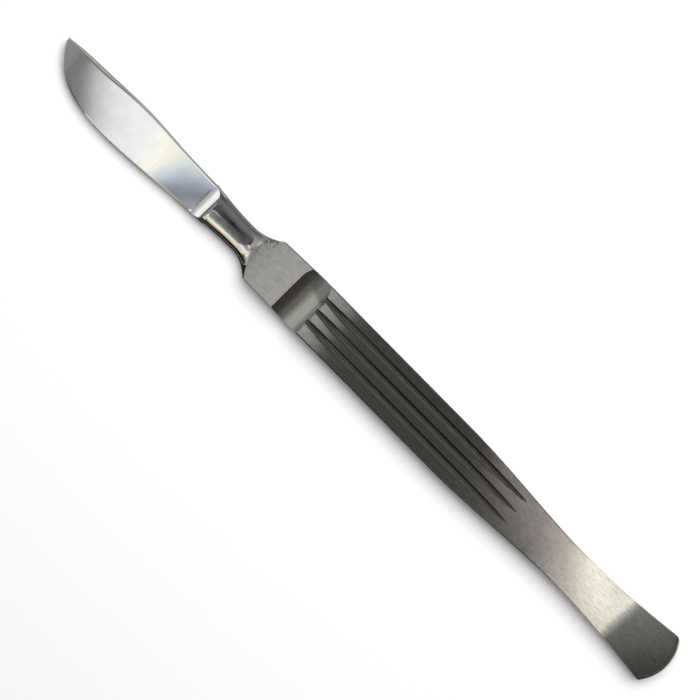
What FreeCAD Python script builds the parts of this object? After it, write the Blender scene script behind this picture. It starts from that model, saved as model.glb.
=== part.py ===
import FreeCAD, Part
import os
import re
import Sketcher

# Solid dissecting scalpel, forged and ground from one bar of stainless steel, in millimetres.
# Along X the blade's tip points to -X and the butt to +X. +Y is the spine side, -Y the cutting edge.
# The working frame starts at the heel, on the axis of the handle and half way through its thickness.
# The finished part is shifted so that it lies on its lower face, with its origin below its middle.

V = FreeCAD.Vector

SIZES = {
    # Lengths along the knife, from the tip to the butt
    "blade_length": 41.6,
    "neck_length": 12.5,
    "pad_length": 7.5,
    "scoop_length": 6.8,
    "grip_length": 34.9,
    "taper_length": 32.8,
    "butt_length": 23.9,
    # Blade: blank, ground faces that thin it from spine to edge, and honed edge
    "blank_thickness": 1.5,
    "ground_spine_line": 4.0,
    "ground_edge_line": 4.8,
    "ground_spine_tip": 0.2,
    "ground_spine_middle": 0.47,
    "ground_spine_heel": 0.7,
    "ground_edge_tip": 0.06,
    "ground_edge_middle": 0.07,
    "ground_edge_heel": 0.01,
    "bevel_width": 0.3,
    "bevel_rise": 0.1,
    "edge_land": 0.02,
    "spine_round": 0.12,
    # Collar at the heel, with the cove that the grinding wheel leaves in front of it
    "cove_start": 2.3,
    "cove_radius": 2.6,
    "cove_depth": 0.03,
    "collar_width": 6.5,
    "collar_height": 3.16,
    "collar_drop": 0.22,
    "collar_overhang": 0.1,
    # Neck: an oval that narrows from the heel to its waist and flares out and up into the handle
    "neck_width": 5.68,
    "neck_height": 3.0,
    "heel_width": 6.55,
    "flare_length": 5.03,
    "flare_step": 0.24,
    "flare_lean": 0.4,
    "flare_rise_length": 2.63,
    "flare_height": 7.7,
    # Handle: flat bar with straight sides, a waist and a flared, thinned butt
    "handle_thickness": 3.2,
    "shoulder_width": 10.2,
    "shoulder_spine_corner": 1.6,
    "shoulder_edge_corner": 0.3,
    "handle_width": 10.8,
    "taper_ease": 0.32,
    "waist_width": 7.75,
    "waist_ease": 0.31,
    "butt_ease": 0.27,
    "butt_width": 11.0,
    "butt_slope": 0.117,
    "butt_bulge": 2.0,
    "butt_thickness": 1.9,
    "butt_spine_corner": 0.9,
    "butt_edge_corner": 0.4,
    "butt_round": 0.8,
    "butt_land": 0.11,
    "thinning_length": 34.4,
    "thinning_start_ease": 8.0,
    "thinning_dip": 0.06,
    "end_facet_length": 12.4,
    "end_facet_drop": 0.44,
    "end_facet_lead": 6.0,
    "end_facet_lead_rise": 0.08,
    "edge_round": 0.25,
    # Thumb scoop, steep on the blade's side
    "scoop_depth": 0.75,
    "scoop_low": 3.2,
    # Three grip flutes on each face, each with a steep wall and a shallow one
    "flute_pitch": 2.65,
    "flute_width": 1.75,
    "flute_wall": 0.5,
    "flute_depth": 0.38,
    "flute_rim": 0.06,
    "flute_mouth": 0.16,
    "flute_lead": 1.0,
    "flute_run_in": 5.0,
    "flute_length": 52.7,
    "flute_run_out": 14.0,
    # How far the shapes that cut the steel reach past it, and how little they overlap where they only meet
    "tool_reach": 3.0,
    "tool_overlap": 0.06,
}

# Poles that lead the blade's two curves, from the tip to the heel: distance from the heel as a share
# of the blade's length, and height above the handle's axis (mm)
CURVES = {
    "spine": ((1.0, 3.17), (0.918, 3.75), (0.75, 3.82), (0.5, 4.5), (0.25, 3.5), (0.083, 3.57), (0.0, 3.32)),
    "belly": ((1.0, 2.58), (0.92, -4.57), (0.502, -5.63), (0.187, -3.49), (0.0, -3.5)),
}
NECK_OVALS = 13

document = FreeCAD.newDocument("Scalpel")
sheet = document.addObject("Spreadsheet::Sheet", "Sizes")


def enter(name, value):
    """Write one size into the next row of the sheet, under its own name."""
    row = enter.rows = getattr(enter, "rows", 0) + 1
    sheet.set(f"A{row}", name)
    sheet.set(f"B{row}", str(value))
    sheet.setAlias(f"B{row}", name)


for size, value in SIZES.items():
    enter(size, value)
for name, poles in CURVES.items():
    for number, (share, height) in enumerate(poles):
        enter(f"{name}_share_{number}", share)
        enter(f"{name}_height_{number}", height)
document.recompute()

body = document.addObject("PartDesign::Body", "Scalpel")
body.Label = "scalpel"
body.AllowCompound = True
planes = {feature.Role: feature for feature in body.Origin.OriginFeatures}


def formula(text):
    """A formula of the sizes, with the sheet's name put before each size."""
    return re.sub(r"[a-z]+_\w+", lambda word: "Sizes." + word.group(), text)


def bind(thing, prop, text):
    thing.setExpression(prop, formula(text))


def sketch_on(plane, name, offset="0"):
    """A sketch on one of the body's planes, moved along its normal by a formula."""
    sketch = body.newObject("Sketcher::SketchObject", name)
    sketch.AttachmentSupport = [(planes[plane], "")]
    sketch.MapMode = "FlatFace"
    if offset != "0":
        bind(sketch, "AttachmentOffset.Base.z", offset)
    return sketch


def amount(sketch, text):
    return float(sketch.evalExpression(formula(text)))


def at(sketch, point):
    return V(amount(sketch, point[0]), amount(sketch, point[1]), 0)


def hold(sketch, element, end, x=None, y=None):
    """Hold one point of a sketch at x and y, each a formula of the sizes."""
    for kind, axis, text in (("DistanceX", -2, x), ("DistanceY", -1, y)):
        if text is None:
            continue
        if text == "0":
            sketch.addConstraint(Sketcher.Constraint("PointOnObject", element, end, axis))
            continue
        size = sketch.addConstraint(Sketcher.Constraint(kind, -1, 1, element, end, amount(sketch, text)))
        bind(sketch, f"Constraints[{size}]", text)


def line(sketch, start, end):
    """A straight edge, held at its start."""
    element = sketch.addGeometry(Part.LineSegment(at(sketch, start), at(sketch, end)))
    hold(sketch, element, 1, *start)
    return element, 1, 2


def curve(sketch, *poles):
    """A smooth edge led by its poles, held at all of them but the last, where the next edge starts."""
    points = [at(sketch, pole) for pole in poles]
    spline = Part.BSplineCurve()
    degree = min(3, len(points) - 1)
    inner = len(points) - degree - 1
    knots = [step / (inner + 1) for step in range(inner + 2)]
    spline.buildFromPolesMultsKnots(points, [degree + 1] + [1] * inner + [degree + 1], knots, False, degree)
    element = sketch.addGeometry(spline)
    for number, pole in enumerate(poles):
        ring = sketch.addGeometry(Part.Circle(points[number], V(0, 0, 1), 0.2), True)
        sketch.addConstraint(Sketcher.Constraint("Weight", ring, 1.0))
        kind = "InternalAlignment:Sketcher::BSplineControlPoint"
        sketch.addConstraint(Sketcher.Constraint(kind, ring, 3, element, number))
        if number < len(poles) - 1:
            hold(sketch, ring, 3, *pole)
    return element, 1, 2


def arc(sketch, start, middle, end, centre_x):
    """A round edge from start through middle to end, held at its start and by its centre's place along x."""
    round_edge = Part.Arc(at(sketch, start), at(sketch, middle), at(sketch, end))
    element = sketch.addGeometry(round_edge)
    first = 1 if sketch.getPoint(element, 1).isEqual(at(sketch, start), 1e-6) else 2
    hold(sketch, element, first, *start)
    hold(sketch, element, 3, centre_x)
    return element, first, 3 - first


def join(sketch, edges):
    """Join each edge's end to the next one's start."""
    for (element, _, end), (following, start, _) in zip(edges, edges[1:]):
        sketch.addConstraint(Sketcher.Constraint("Coincident", element, end, following, start))
    document.recompute()


def close(sketch, edges):
    join(sketch, edges + edges[:1])


def polygon(sketch, *corners):
    """Straight edges round the corners, joined into a closed outline."""
    close(sketch, [line(sketch, *pair) for pair in zip(corners, corners[1:] + corners[:1])])


def oval(sketch, width, height, shift):
    """An ellipse with its long axis across the knife, shifted towards the cutting edge."""
    centre = V(-amount(sketch, shift), 0, 0)
    long_end = centre + V(amount(sketch, width) / 2, 0, 0)
    short_end = centre + V(0, amount(sketch, height) / 2, 0)
    element = sketch.addGeometry(Part.Ellipse(long_end, short_end, centre))
    sketch.exposeInternalGeometry(element)
    hold(sketch, element, 3, "0" if shift == "0" else f"-({shift})", "0")
    sketch.addConstraint(Sketcher.Constraint("Horizontal", element + 1))
    for axis, text in ((element + 1, width), (element + 2, height)):
        size = sketch.addConstraint(Sketcher.Constraint("Distance", axis, amount(sketch, text)))
        bind(sketch, f"Constraints[{size}]", text)
    document.recompute()


def feature(kind, name, formulas=None, **properties):
    """Add a feature to the body, with its plain properties and those that follow a formula."""
    made = body.newObject("PartDesign::" + kind, name)
    for prop, value in properties.items():
        setattr(made, prop, value)
    for prop, text in (formulas or {}).items():
        bind(made, prop, text)
    body.Tip = made
    document.recompute()
    return made


def cut_both_faces(kind, name, formulas=None, **properties):
    """A cut on the upper face, and the same cut on the lower one."""
    cut = feature(kind, name, formulas, **properties)
    feature("Mirrored", name + "Below", Originals=[cut], MirrorPlane=(planes["XY_Plane"], [""]))


def round_edges(name, test, radius):
    """Round those edges of the last feature whose middle point passes a test."""
    solid = body.Tip
    names = []
    for number, edge in enumerate(solid.Shape.Edges, 1):
        if test(edge.valueAt((edge.FirstParameter + edge.LastParameter) / 2)):
            names.append(f"Edge{number}")
    feature("Fillet", name, {"Radius": radius}, Base=(solid, names))


# Places along the knife, and heights above its middle plane
shoulder = "neck_length"
scoop_start = "(neck_length + pad_length)"
scoop_middle = "(neck_length + pad_length + scoop_low)"
grip_start = "(neck_length + pad_length + scoop_length)"
grip_end = "(neck_length + pad_length + scoop_length + grip_length)"
waist = "(neck_length + pad_length + scoop_length + grip_length + taper_length)"
butt = "(neck_length + pad_length + scoop_length + grip_length + taper_length + butt_length)"
beyond = f"({butt} + tool_reach)"
face = "handle_thickness / 2"
thin = "butt_thickness / 2"
above = f"{face} + tool_reach"

# Handle, seen from above: shoulders, straight grip, waist, flared butt with a bowed end
corner = f"({butt} - butt_bulge)"
bow_radius = "(((butt_width / 2)^2 + butt_bulge^2) / (2 * butt_bulge))"
bow_centre = f"{butt} - {bow_radius}"


def bow_end(side, size):
    """Where the bowed end meets the rounded corner on one side."""
    height = f"(butt_width / 2 - {size})"
    return f"{bow_centre} + sqrt({bow_radius}^2 - {height}^2)", f"{side}{height}"


def half_outline(side, shoulder_corner, butt_corner):
    """One side of the handle from the shoulder to the bowed end: edge makers and their points."""
    shoulder_half, handle_half = f"{side}shoulder_width / 2", f"{side}handle_width / 2"
    widening = "((handle_width - shoulder_width) / 2 / (pad_length + scoop_low))"
    waist_half, butt_half = f"{side}waist_width / 2", f"{side}butt_width / 2"
    front = (shoulder, f"{side}(shoulder_width / 2 - {shoulder_corner})")
    side_start = (f"{shoulder} + {shoulder_corner}",
                  f"{side}(shoulder_width / 2 + {shoulder_corner} * {widening})")
    butt_lead = (f"{corner} - butt_length * butt_ease",
                 f"{side}(butt_width / 2 - butt_slope * butt_length * butt_ease)")
    flare_end = (f"{corner} - {butt_corner}", f"{side}(butt_width / 2 - butt_slope * {butt_corner})")
    return [
        (curve, front, (shoulder, shoulder_half), side_start),
        (line, side_start, (scoop_middle, handle_half)),
        (line, (scoop_middle, handle_half), (grip_end, handle_half)),
        (curve, (grip_end, handle_half), (f"{grip_end} + taper_length * taper_ease", handle_half),
         (f"{waist} - taper_length * taper_ease", waist_half), (waist, waist_half)),
        (curve, (waist, waist_half), (f"{waist} + butt_length * waist_ease", waist_half), butt_lead,
         flare_end),
        (curve, flare_end, (corner, butt_half), bow_end(side, butt_corner)),
    ]


outline = sketch_on("XY_Plane", "HandleOutline")
spine_side = half_outline("", "shoulder_spine_corner", "butt_spine_corner")
edge_side = half_outline("-", "shoulder_edge_corner", "butt_edge_corner")
edge_side = [(make, *reversed(points)) for make, *points in reversed(edge_side)]
bow = (arc, bow_end("", "butt_spine_corner"), (butt, "0"), bow_end("-", "butt_edge_corner"), bow_centre)
front = (line, edge_side[-1][-1], spine_side[0][1])
close(outline, [make(outline, *points) for make, *points in spine_side + [bow] + edge_side + [front]])
feature("Pad", "HandleSlab", {"Length": "handle_thickness"}, Profile=outline, Midplane=True)


def on_long_edge(point):
    """Whether a point lies on the slab's upper or lower rim, behind its front."""
    near = 0.01
    return abs(abs(point.z) - amount(outline, face)) < near and point.x > amount(outline, shoulder) + near


round_edges("EdgeRound", on_long_edge, "edge_round")

# Thinning of the butt, seen from the side: a long easy slope, then a steeper facet at the end
thinning_start = f"({butt} - thinning_length)"
facet_start = (f"({butt} - end_facet_length)", f"({thin} + end_facet_drop)")
facet_end = (beyond, f"({thin} - end_facet_drop * tool_reach / end_facet_length)")
thinning = sketch_on("XZ_Plane", "ThinningProfile")
close(thinning, [
    curve(thinning, (thinning_start, face),
          (f"{thinning_start} + thinning_start_ease", f"{face} - thinning_dip"),
          (f"{facet_start[0]} - end_facet_lead", f"{facet_start[1]} + end_facet_lead_rise"), facet_start),
    line(thinning, facet_start, facet_end),
    line(thinning, facet_end, (beyond, above)),
    line(thinning, (beyond, above), (thinning_start, above)),
    line(thinning, (thinning_start, above), (thinning_start, face)),
])
cut_both_faces("Pocket", "Thinning", Profile=thinning, Midplane=True, Type="ThroughAll")

# Rounded end of the butt, turned about the centre of its bow
nose = sketch_on("XZ_Plane", "NoseProfile")
axis_ends = (bow_centre, "0"), (bow_centre, "handle_thickness")
nose_axis = nose.addGeometry(Part.LineSegment(*[at(nose, end) for end in axis_ends]), True)
for end, place in enumerate(axis_ends, 1):
    hold(nose, nose_axis, end, *place)
nose_start = (f"({butt} - butt_round)", f"{thin} + tool_overlap")
nose_end = (f"({butt} + tool_overlap / 6)", "butt_land")
close(nose, [
    curve(nose, nose_start, (f"{butt} - butt_round / 3", thin), (butt, f"{thin} * 2 / 3"), nose_end),
    line(nose, nose_end, (beyond, "butt_land")),
    line(nose, (beyond, "butt_land"), (beyond, above)),
    line(nose, (beyond, above), (nose_start[0], above)),
    line(nose, (nose_start[0], above), nose_start),
])
cut_both_faces("Groove", "Nose", Profile=nose, ReferenceAxis=(nose, ["Axis0"]), Midplane=True, Angle=100)


def curve_poles(name):
    """The poles of one of the blade's curves, as formulas, with the last at the heel."""
    inner = [(f"-blade_length * {name}_share_{number}", f"{name}_height_{number}")
             for number in range(len(CURVES[name]) - 1)]
    return inner + [("0", f"{name}_height_{len(inner)}")]


# Blade blank, seen from above: curved spine, blunt little tip, full belly and square heel
blank = sketch_on("XY_Plane", "BladeOutline")
spine, belly = curve_poles("spine"), curve_poles("belly")
close(blank, [
    curve(blank, *spine),
    line(blank, spine[-1], belly[-1]),
    curve(blank, *reversed(belly)),
    line(blank, belly[0], spine[0]),
])
feature("Pad", "BladeBlank", {"Length": "blank_thickness"}, Profile=blank, Midplane=True)


def ground_section(name, place):
    """The steel ground off above a straight line that falls from the spine to the edge."""
    section = sketch_on("YZ_Plane", "Ground" + name.title(), place)
    slope = f"(ground_spine_{name} - ground_edge_{name}) / (ground_spine_line + ground_edge_line)"
    upper = ("ground_spine_line + tool_reach", f"ground_spine_{name} + tool_reach * {slope}")
    lower = ("-(ground_edge_line + tool_reach)", f"ground_edge_{name} - tool_reach * {slope}")
    polygon(section, upper, lower, (lower[0], "blank_thickness"), (upper[0], "blank_thickness"))
    return section


first, *others = [ground_section("tip", "-blade_length - tool_reach / 3"),
                  ground_section("middle", "-blade_length / 2"),
                  ground_section("heel", "tool_reach / 3")]
cut_both_faces("SubtractiveLoft", "GroundFace", Profile=first, Sections=[(other, [""]) for other in others])

# Honed bevel, drawn along the belly
belly_path = sketch_on("XY_Plane", "BellyPath")
edge_line = curve(belly_path, *reversed(belly))
hold(belly_path, edge_line[0], 2, *belly[0])
honing = sketch_on("YZ_Plane", "HoningSection")
hone_slope = "(bevel_rise - edge_land / 2) / bevel_width"
outer = (f"{belly[-1][1]} - bevel_width", f"edge_land / 2 - bevel_width * {hone_slope}")
inner = (f"{belly[-1][1]} + bevel_width * 2", f"edge_land / 2 + bevel_width * 2 * {hone_slope}")
polygon(honing, outer, inner, (inner[0], "blank_thickness"), (outer[0], "blank_thickness"))
cut_both_faces("SubtractivePipe", "Bevel", Profile=honing, Spine=(belly_path, ["Edge1"]), Mode="Binormal",
               Binormal=V(0, 0, 1))


def on_spine(point):
    """Whether a point lies over the curve of the blade's spine, on either face."""
    near = 0.001
    spine_curve = blank.Shape.Edges[0]
    distance = spine_curve.distToShape(Part.Vertex(point.x, point.y, 0))[0]
    return distance < near and abs(point.z) > near and point.x < amount(blank, "-edge_land")


round_edges("SpineRound", on_spine, "spine_round")


def neck_oval(number):
    """One of the evenly spaced ovals that the steel of the neck flows through."""
    place = f"({number} * (cove_start + neck_length) / {NECK_OVALS - 1} - cove_start)"
    neck_waist = "(neck_length - flare_length)"
    before = f"(min(0; {place} - {neck_waist}) / {neck_waist})"
    after = f"(max(0; {place} - {neck_waist}) / flare_length)"
    risen = f"(max(0; {place} - neck_length + flare_rise_length) / flare_rise_length)"
    flare_width = "(shoulder_width - 2 * flare_step - neck_width)"
    width = f"neck_width + (heel_width - neck_width) * {before}^2 + {flare_width} * {after}^2"
    height = f"neck_height + (flare_height - neck_height) * {risen}^2"
    section = sketch_on("YZ_Plane", f"NeckOval{number}", place)
    oval(section, width, height, f"flare_lean * {after}^2")
    return section


first, *others = [neck_oval(number) for number in range(NECK_OVALS)]
feature("AdditiveLoft", "Neck", Profile=first, Sections=[(other, [""]) for other in others])

# The forged flare is ground flush with the handle's faces, which leaves the pad's blunt front edge
flush = sketch_on("XY_Plane", "FlushOutline", face)
flush_start = "(neck_length - flare_length)"
polygon(flush, (flush_start, "-handle_width"), (scoop_start, "-handle_width"),
        (scoop_start, "handle_width"), (flush_start, "handle_width"))
cut_both_faces("Pocket", "Flush", Profile=flush, Type="ThroughAll", Reversed=True)

# Collar: a slightly larger and lower oval that stands proud behind the blade
collar = sketch_on("YZ_Plane", "CollarSection", "collar_overhang")
oval(collar, "collar_width", "collar_height", "collar_drop")
feature("Pad", "Collar", {"Length": "cove_start + collar_overhang"}, Profile=collar, Reversed=True)

# Cove: the grinding wheel's round corner, tilted like the ground face that it ends
cove_tilt = "((ground_spine_heel - ground_edge_heel) / (ground_spine_line + ground_edge_line))"
cove_floor = f"(ground_edge_heel + ground_edge_line * {cove_tilt} - cove_depth)"
wheel_centre = ("-cove_start", f"{cove_floor} + cove_radius")
wheel = sketch_on("XZ_Plane", "CoveCircle")
ring = wheel.addGeometry(Part.Circle(at(wheel, wheel_centre), V(0, 0, 1), amount(wheel, "cove_radius")))
hold(wheel, ring, 3, *wheel_centre)
radius = wheel.addConstraint(Sketcher.Constraint("Radius", ring, amount(wheel, "cove_radius")))
bind(wheel, f"Constraints[{radius}]", "cove_radius")
cut_both_faces("Pocket", "Cove", {"Length": "handle_width * 2", "Direction.z": cove_tilt}, Profile=wheel,
               Midplane=True, Type="Length", UseCustomVector=True, Direction=V(0, 1, 0))

# Thumb scoop: a short steep arc on the blade's side and a long shallow one behind it, which meet
# level at its bottom
scoop = sketch_on("XZ_Plane", "ScoopProfile")
scoop_bottom = (scoop_middle, f"{face} - scoop_depth")


def sagging(start, end):
    middle = (f"({start[0]} + {end[0]}) / 2", f"({start[1]} + {end[1]}) / 2 - scoop_depth / 8")
    return arc(scoop, start, middle, end, scoop_bottom[0])


close(scoop, [
    sagging((scoop_start, face), scoop_bottom),
    sagging(scoop_bottom, (grip_start, face)),
    line(scoop, (grip_start, face), (grip_start, above)),
    line(scoop, (grip_start, above), (scoop_start, above)),
    line(scoop, (scoop_start, above), (scoop_start, face)),
])
cut_both_faces("Pocket", "Scoop", Profile=scoop, Midplane=True, Type="ThroughAll")

# Flute: drawn along a path that dips in from the scoop, runs level and rises out slowly
flute_start = f"({grip_start} - flute_lead)"
level_start = f"({grip_start} + flute_run_in)"
level_end = f"({grip_start} + flute_length - flute_run_out)"
flute_end = f"({grip_start} + flute_length)"
mouth, bottom = f"{face} - flute_mouth", f"{face} - flute_depth"
path = sketch_on("XZ_Plane", "FlutePath", "flute_pitch")
path_end = (f"{flute_end} + flute_run_in", f"{face} + flute_depth")
run_out = curve(path, (level_end, bottom), (f"{level_end} + flute_run_out / 2", bottom), (flute_end, face),
                path_end)
join(path, [
    curve(path, (flute_start, mouth), (f"{level_start} - flute_run_in / 2", bottom), (level_start, bottom)),
    line(path, (level_start, bottom), (level_end, bottom)),
    run_out,
])
hold(path, run_out[0], 2, *path_end)

# Its section has a steep wall on the spine side and a shallow one
section = sketch_on("YZ_Plane", "FluteSection", flute_start)
right, left = "(flute_width / 2 - flute_pitch)", "(-flute_width / 2 - flute_pitch)"
lowest = f"({right} - flute_wall)"
rim = f"{mouth} + flute_depth + flute_rim"
close(section, [
    curve(section, (right, rim), (f"{right} - flute_wall / 3", mouth), (lowest, mouth)),
    curve(section, (lowest, mouth), (f"{lowest} - (flute_width - flute_wall) / 2", mouth), (left, rim)),
    line(section, (left, rim), (left, above)),
    line(section, (left, above), (right, above)),
    line(section, (right, above), (right, rim)),
])
edges = [f"Edge{number}" for number in range(1, len(path.Shape.Edges) + 1)]
flute = feature("SubtractivePipe", "Flute", Profile=section, Mode="Fixed", Spine=(path, edges))

# Three flutes side by side, and the same three on the lower face
row = document.addObject("PartDesign::LinearPattern", "FluteRow")
row.Direction = (planes["Y_Axis"], [""])
row.Occurrences = 3
bind(row, "Length", "2 * flute_pitch")
below = document.addObject("PartDesign::Mirrored", "FlutesBelow")
below.MirrorPlane = (planes["XY_Plane"], [""])
feature("MultiTransform", "Flutes", Originals=[flute], Transformations=[row, below])

# The finished part lies on its lower face, with its origin below its middle
bind(body, "Placement.Base.x", f"(blade_length - {butt}) / 2")
bind(body, "Placement.Base.z", face)
document.recompute()

failed = [item.Name for item in document.Objects if {"Invalid", "Error"} & set(item.State)]
if failed:
    raise RuntimeError("These features failed: " + ", ".join(failed))
shape = body.Shape
if shape.isNull() or not shape.isValid() or len(shape.Solids) != 1:
    raise RuntimeError("The scalpel isn't one sound solid")
os.makedirs("parts", exist_ok=True)
shape.exportStep(f"parts/{body.Label}.step")
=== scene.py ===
import math
import bmesh
import bpy
from mathutils import Matrix, Vector


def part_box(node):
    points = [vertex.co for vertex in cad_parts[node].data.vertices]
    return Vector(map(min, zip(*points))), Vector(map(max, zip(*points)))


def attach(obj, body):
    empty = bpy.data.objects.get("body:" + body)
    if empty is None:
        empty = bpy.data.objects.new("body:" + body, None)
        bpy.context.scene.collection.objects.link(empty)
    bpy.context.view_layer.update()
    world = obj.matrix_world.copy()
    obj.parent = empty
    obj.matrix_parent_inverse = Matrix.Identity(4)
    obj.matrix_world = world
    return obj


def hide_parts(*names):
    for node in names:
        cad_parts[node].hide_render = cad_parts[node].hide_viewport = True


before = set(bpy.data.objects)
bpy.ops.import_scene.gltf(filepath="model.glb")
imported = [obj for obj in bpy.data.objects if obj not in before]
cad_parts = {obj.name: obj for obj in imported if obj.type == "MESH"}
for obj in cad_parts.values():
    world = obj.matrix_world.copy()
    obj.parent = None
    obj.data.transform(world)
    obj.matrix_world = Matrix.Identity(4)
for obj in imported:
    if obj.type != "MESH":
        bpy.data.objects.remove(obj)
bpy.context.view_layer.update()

# Solid dissecting scalpel of ground and brushed steel, seen from straight above on white paper.
# The steel is shaped in millimetres in the knife's own frame: X runs from the tip to the butt and is
# 0 at the blade's heel, +Y is the spine side, and Z is 0 half way through the thickness.

MM = 0.001
FACE = 1.6
KNIFE_START = -41.6
ROW_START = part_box("scalpel")[0][0]
TO_ROW = Matrix.Translation((ROW_START - KNIFE_START * MM, 0, FACE * MM)) @ Matrix.Scale(MM, 4)

# Places along the knife
SHOULDER, PAD_END, SCOOP_LOW, GRIP_START = 12.5, 20.0, 23.2, 26.8
GRIP_END, WAIST, BUTT = 61.7, 94.5, 118.4
BEYOND, WELL_ABOVE, WELL_ASIDE = 3.0, 4.6, 9.0

# Half widths of the handle, and how far its curves keep their direction before they turn
SHOULDER_HALF, HANDLE_HALF, WAIST_HALF, BUTT_HALF = 5.1, 5.4, 3.875, 5.5
BUTT_SLOPE, BUTT_BULGE = 0.117, 2.0
TAPER_EASE, WAIST_EASE, FLARE_EASE = 0.32, 0.31, 0.27
LONG_EDGE = 0.25
CORNER = BUTT - BUTT_BULGE
BOW_RADIUS = (BUTT_HALF ** 2 + BUTT_BULGE ** 2) / (2 * BUTT_BULGE)

# Blade curves, from the tip to the heel
SPINE = ((-41.6, 3.17), (-38.19, 3.75), (-31.2, 3.82), (-20.8, 4.5),
         (-10.4, 3.5), (-3.45, 3.57), (0.0, 3.32))
BELLY = ((-41.6, 2.58), (-38.27, -4.57), (-20.88, -5.63), (-7.78, -3.49), (0.0, -3.5))


# Shapes that lead the steel

def flowing(poles, steps):
    """Evenly stepped points of the smooth curve that the poles lead, both ends included."""
    if len(poles) == 2:
        return [Vector((*pole, 0)) for pole in poles]
    data = bpy.data.curves.new("lead", "CURVE")
    data.dimensions = "3D"
    spline = data.splines.new("NURBS")
    spline.points.add(len(poles) - 1)
    for point, pole in zip(spline.points, poles):
        point.co = (pole[0], pole[1], 0, 1)
    spline.order_u = min(4, len(poles))
    spline.use_endpoint_u = True
    data.resolution_u = max(1, round(steps / (len(poles) - 1)))
    thing = bpy.data.objects.new("lead", data)
    mesh = bpy.data.meshes.new_from_object(thing)
    points = [vertex.co.copy() for vertex in mesh.vertices]
    bpy.data.objects.remove(thing)
    bpy.data.curves.remove(data)
    bpy.data.meshes.remove(mesh)
    return points


def evenly(points, count):
    """The same line with its points set at even distances."""
    lengths = [0.0]
    for start, end in zip(points, points[1:]):
        lengths.append(lengths[-1] + (end - start).length)
    made, place = [], 0
    for number in range(count + 1):
        wanted = lengths[-1] * number / count
        while place < len(points) - 2 and lengths[place + 1] < wanted:
            place += 1
        span = lengths[place + 1] - lengths[place]
        made.append(points[place].lerp(points[place + 1], min(1, (wanted - lengths[place]) / span)))
    return made


def solid(name, mesh_maker, material=None):
    """A closed body in the knife's frame, kept as an object until it is joined or cut."""
    mesh = bmesh.new()
    mesh_maker(mesh)
    bmesh.ops.remove_doubles(mesh, verts=mesh.verts, dist=1e-5)
    bmesh.ops.recalc_face_normals(mesh, faces=mesh.faces)
    data = bpy.data.meshes.new(name)
    mesh.to_mesh(data)
    mesh.free()
    if material:
        data.materials.append(material)
    thing = bpy.data.objects.new(name, data)
    bpy.context.scene.collection.objects.link(thing)
    return thing


def combine(base, others, operation):
    """Join the other bodies to the base, or cut them out of it, and do away with them."""
    for other in others:
        change = base.modifiers.new("combine", "BOOLEAN")
        change.operation = operation
        change.solver = "MANIFOLD"
        change.material_mode = "TRANSFER"
        change.object = other
        made = bpy.data.meshes.new_from_object(base.evaluated_get(bpy.context.evaluated_depsgraph_get()))
        base.modifiers.remove(change)
        base.data = made
        bpy.data.objects.remove(other)


def prism(outline, low, high, upright):
    """A maker that pushes a flat outline through; its points are (x, y), or (x, z) when upright."""
    def make(mesh):
        corners = [mesh.verts.new((p[0], low, p[1]) if upright else (p[0], p[1], low)) for p in outline]
        face = mesh.faces.new(corners)
        pushed = bmesh.ops.extrude_face_region(mesh, geom=[face])["geom"]
        shift = (0, high - low, 0) if upright else (0, 0, high - low)
        bmesh.ops.translate(mesh, verts=[v for v in pushed if isinstance(v, bmesh.types.BMVert)], vec=shift)
    return make


def mirrored(thing):
    """The same body below the middle plane."""
    twin = bpy.data.objects.new(thing.name + "_below", thing.data.copy())
    bpy.context.scene.collection.objects.link(twin)
    mesh = bmesh.new()
    mesh.from_mesh(twin.data)
    bmesh.ops.scale(mesh, verts=mesh.verts, vec=(1, 1, -1))
    bmesh.ops.recalc_face_normals(mesh, faces=mesh.faces)
    mesh.to_mesh(twin.data)
    mesh.free()
    return twin


def ring(mesh, place, half_width, half_height, shift, points=96):
    """An oval loop across the knife, its middle shifted towards the cutting edge."""
    made = bmesh.ops.create_circle(mesh, cap_ends=False, radius=1, segments=points)["verts"]
    bmesh.ops.rotate(mesh, verts=made, cent=(0, 0, 0), matrix=Matrix.Rotation(math.pi / 2, 3, "Y"))
    bmesh.ops.scale(mesh, verts=made, vec=(1, half_width, half_height))
    bmesh.ops.translate(mesh, verts=made, vec=(place, -shift, 0))
    return made


def skin(mesh, rings):
    """Bridge a run of loops and close both ends."""
    for first, second in zip(rings, rings[1:]):
        members = set(first) | set(second)
        loops = {e for v in first for e in v.link_edges if e.other_vert(v) in set(first)}
        loops |= {e for v in second for e in v.link_edges if e.other_vert(v) in set(second)}
        bmesh.ops.bridge_loops(mesh, edges=list(loops))
    for end in (rings[0], rings[-1]):
        bmesh.ops.contextual_create(mesh, geom=end)


# Handle: flat bar with straight sides, a waist and a bowed butt, its long edges softened

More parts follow.
